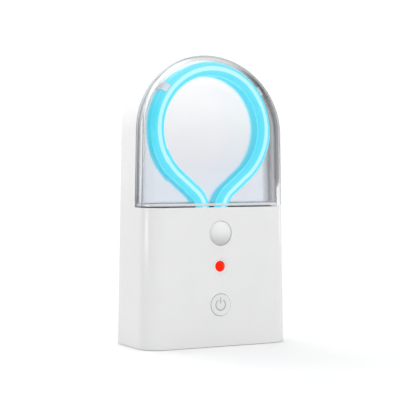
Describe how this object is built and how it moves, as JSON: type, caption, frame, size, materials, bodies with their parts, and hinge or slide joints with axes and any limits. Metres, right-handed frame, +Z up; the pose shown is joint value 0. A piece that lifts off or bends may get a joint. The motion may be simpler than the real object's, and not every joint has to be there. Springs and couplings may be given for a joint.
{
  "type": "ultraviolet sanitiser",
  "caption": "Free-standing white sanitiser with a looped glowing ultraviolet lamp under an arched clear window, a motion sensor dome, a status light and a power button.",
  "frame": {"origin": "on the resting surface, under the middle of the body", "axes": "+Z up, -Y out of the front with the window and the controls, +X to the right seen from the front"},
  "size_m": [0.076, 0.036, 0.136],
  "materials": {
    "white_plastic": "smooth satin-gloss moulding",
    "back_plastic": "fine matte moulding",
    "clear_plastic": "clear polished",
    "satin_reflector": "satin, almost a mirror",
    "lamp_glow": "glowing",
    "frosted_plastic": "frosted",
    "ceramic": "matte",
    "sensor_lens_plastic": "milky, faceted inside",
    "bright_metal": "bright nickel",
    "led_red": "glowing lens",
    "dark_plastic": "matte",
    "board_green": "solder mask",
    "ferrite": "dull",
    "cell_wrap": "satin sleeve",
    "screw_steel": "zinc plated",
    "rubber": "matte",
    "white_wire": "satin sleeve",
    "red_wire": "satin sleeve",
    "black_wire": "satin sleeve"
  },
  "bodies": {
    "housing": {"back_cover": "back_plastic", "battery_cell_1": "cell_wrap", "battery_cell_2": "cell_wrap", "battery_cell_3": "cell_wrap", "battery_cell_4": "cell_wrap", "battery_contact_1": "bright_metal", "battery_contact_2": "bright_metal", "battery_contact_3": "bright_metal", "battery_contact_4": "bright_metal", "battery_contact_5": "bright_metal", "battery_lead_black": "black_wire", "battery_lead_red": "red_wire", "battery_spring_1": "bright_metal", "battery_spring_2": "bright_metal", "battery_spring_3": "bright_metal", "battery_spring_4": "bright_metal", "board_screw_1": "screw_steel", "board_screw_2": "screw_steel", "board_screw_3": "screw_steel", "board_screw_4": "screw_steel", "capacitor_1": "dark_plastic", "capacitor_2": "dark_plastic", "case_screw_1": "screw_steel", "case_screw_2": "screw_steel", "case_screw_3": "screw_steel", "case_screw_4": "screw_steel", "case_screw_5": "screw_steel", "case_screw_6": "screw_steel", "chamber_floor": "white_plastic", "circuit_board": "board_green", "clear_cover": "clear_plastic", "controller_chip": "dark_plastic", "foot_back_left": "rubber", "foot_back_right": "rubber", "foot_front_left": "rubber", "foot_front_right": "rubber", "inverter_transformer": "ferrite", "lamp_cap_left": "ceramic", "lamp_cap_right": "ceramic", "lamp_clip_left": "frosted_plastic", "lamp_clip_right": "frosted_plastic", "lamp_holder": "ceramic", "lamp_lead_left": "white_wire", "lamp_lead_right": "white_wire", "main_housing": "white_plastic", "motion_sensor": "bright_metal", "reflector_panel": "satin_reflector", "sensor_lens": "sensor_lens_plastic", "status_led": "led_red", "switch_body": "dark_plastic", "uv_lamp": "lamp_glow"},
    "power_button": {"power_button": "white_plastic"},
    "switch_plunger": {"switch_plunger": "dark_plastic"},
    "battery_door": {"battery_door": "back_plastic"}
  },
  "joints": [
    {"name": "button_press", "type": "slide", "parent": "housing", "child": "power_button", "axis": [0, 1, 0], "range_m": [0, 0.0005], "stiffness_N_per_m": 1200, "springref_m": -0.0005},
    {"name": "plunger_travel", "type": "slide", "parent": "housing", "child": "switch_plunger", "axis": [0, 1, 0], "range_m": [0, 0.0005]},
    {"name": "door_lift", "type": "slide", "parent": "housing", "child": "battery_door", "axis": [0, 1, 0], "range_m": [0, 0.025]}
  ],
  "couplings": [
    {"joint": "plunger_travel", "follows": "button_press", "ratio": 1}
  ]
}
